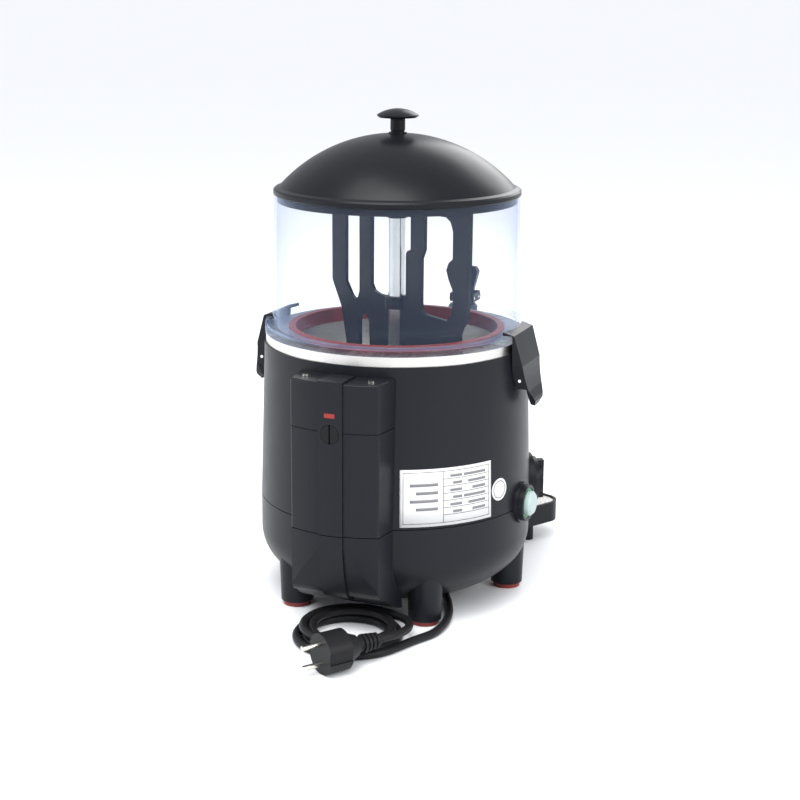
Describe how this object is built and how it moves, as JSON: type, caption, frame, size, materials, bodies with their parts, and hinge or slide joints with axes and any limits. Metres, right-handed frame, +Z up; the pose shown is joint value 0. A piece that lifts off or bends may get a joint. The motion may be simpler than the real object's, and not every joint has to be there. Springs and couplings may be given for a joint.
{
  "type": "hot chocolate dispenser machine",
  "caption": "Table-top drink dispenser: clear heated bowl with stirring paddle, domed lid, side latches, lever tap over a drip tray, thermostat, lit switch and coiled mains cord.",
  "frame": {"origin": "centre of the footprint on the table, cord and plug left out; the machine's upright axis stands 37.5 mm behind it, at y = +0.0375 m", "axes": "+Z up, -Y front with the tap and tray, +Y rear with the rear cover, +X right as seen from the front"},
  "size_m": [0.299, 0.5033, 0.4834],
  "materials": {
    "charcoal_plastic": "satin moulded plastic",
    "dark_plastic": "matt moulded plastic",
    "clear_plastic": "clear polycarbonate",
    "red_silicone": "soft silicone",
    "pale_silicone": "food-grade silicone",
    "steel": "brushed stainless steel",
    "bright_steel": "bright steel",
    "tap_plastic": "moulded food-grade plastic",
    "motor_metal": "zinc-plated housing",
    "green_ring": "translucent plastic",
    "milky_plastic": "milky clear plastic",
    "cord_rubber": "matt cord sheath",
    "pin_metal": "nickel-plated brass"
  },
  "bodies": {
    "machine": {"upper_casing": "charcoal_plastic", "lower_casing": "charcoal_plastic", "casing_legs": "charcoal_plastic", "base_plate": "dark_plastic", "foot_pads": "red_silicone", "heated_pan": "steel", "water_tank": "steel", "heater_element": "steel", "bowl": "clear_plastic", "bowl_seal": "red_silicone", "column_tube": "steel", "column_bush": "charcoal_plastic", "motor_bridge": "steel", "gear_motor": "motor_metal", "rear_cover": "charcoal_plastic", "rear_strip": "charcoal_plastic", "level_pipe": "steel", "cover_screws": "bright_steel", "front_cover": "charcoal_plastic", "latch_brackets": "bright_steel", "latch_pins": "bright_steel", "switch_bezel": "charcoal_plastic", "switch_ring": "green_ring", "switch_body": "dark_plastic", "thermostat_ring": "charcoal_plastic", "thermostat_body": "dark_plastic", "tap_body": "tap_plastic", "tap_nut": "bright_steel", "tap_bonnet": "charcoal_plastic", "lever_pin": "bright_steel", "tap_bellows": "pale_silicone", "cord_gland": "dark_plastic", "entry_relief": "cord_rubber", "cord_lead": "cord_rubber", "cord_coil": "cord_rubber", "cord_tail": "cord_rubber", "plug_body": "cord_rubber", "plug_pins": "pin_metal"},
    "lid": {"lid_dome": "charcoal_plastic", "lid_knob": "charcoal_plastic", "knob_screw": "bright_steel"},
    "stirrer": {"paddle": "charcoal_plastic", "drive_shaft": "steel", "shaft_coupling": "dark_plastic"},
    "latch_left": {"latch_left": "charcoal_plastic"},
    "latch_right": {"latch_right": "charcoal_plastic"},
    "lever": {"tap_lever": "charcoal_plastic"},
    "valve_rod": {"tap_rod": "bright_steel", "tap_seal": "pale_silicone", "rod_pin": "bright_steel"},
    "thermostat": {"thermostat_knob": "charcoal_plastic"},
    "button": {"switch_button": "milky_plastic"},
    "level_plug": {"level_plug": "dark_plastic"},
    "tray": {"drip_tray": "charcoal_plastic"},
    "grid": {"drip_grid": "steel"}
  },
  "joints": [
    {"name": "lid_lift", "type": "slide", "parent": "machine", "child": "lid", "axis": [0, 0, 1], "range_m": [0, 0.15]},
    {"name": "paddle_spin", "type": "hinge", "parent": "machine", "child": "stirrer", "pos_m": [0, 0.0375, 0.3], "axis": [0, 0, 1], "continuous": true},
    {"name": "latch_left_open", "type": "hinge", "parent": "machine", "child": "latch_left", "pos_m": [-0.137, 0.0375, 0.2315], "axis": [0, -1, 0], "range_deg": [0, 18], "stiffness_Nm_per_rad": 0.3, "springref_deg": -20.05},
    {"name": "latch_right_open", "type": "hinge", "parent": "machine", "child": "latch_right", "pos_m": [0.137, 0.0375, 0.2315], "axis": [0, 1, 0], "range_deg": [0, 18], "stiffness_Nm_per_rad": 0.3, "springref_deg": -20.05},
    {"name": "tap_lever_pull", "type": "hinge", "parent": "machine", "child": "lever", "pos_m": [0, -0.1745, 0.2636], "axis": [1, 0, 0], "range_deg": [0, 25]},
    {"name": "tap_rod_lift", "type": "slide", "parent": "machine", "child": "valve_rod", "axis": [0, 0, 1], "range_m": [0, 0.0052], "stiffness_N_per_m": 600, "springref_m": -0.005, "deforming": ["tap_bellows"]},
    {"name": "thermostat_turn", "type": "hinge", "parent": "machine", "child": "thermostat", "pos_m": [-0.11778, -0.0305, 0.106], "axis": [0.866, 0.5, 0], "range_deg": [0, 270]},
    {"name": "switch_push", "type": "slide", "parent": "machine", "child": "button", "axis": [0.9994, -0.0349, 0], "range_m": [0, 0.0025], "stiffness_N_per_m": 600, "springref_m": -0.002},
    {"name": "level_plug_turn", "type": "hinge", "parent": "machine", "child": "level_plug", "pos_m": [0, 0.1975, 0.1994], "axis": [0, -1, 0], "range_deg": [0, 90]},
    {"name": "tray_slide", "type": "slide", "parent": "machine", "child": "tray", "axis": [0, -1, 0], "range_m": [0, 0.09]},
    {"name": "grid_lift", "type": "slide", "parent": "tray", "child": "grid", "axis": [0, 0, 1], "range_m": [0, 0.03]}
  ],
  "couplings": [
    {"joint": "tap_lever_pull", "follows": "tap_rod_lift", "rad_per_m": 83.333}
  ]
}
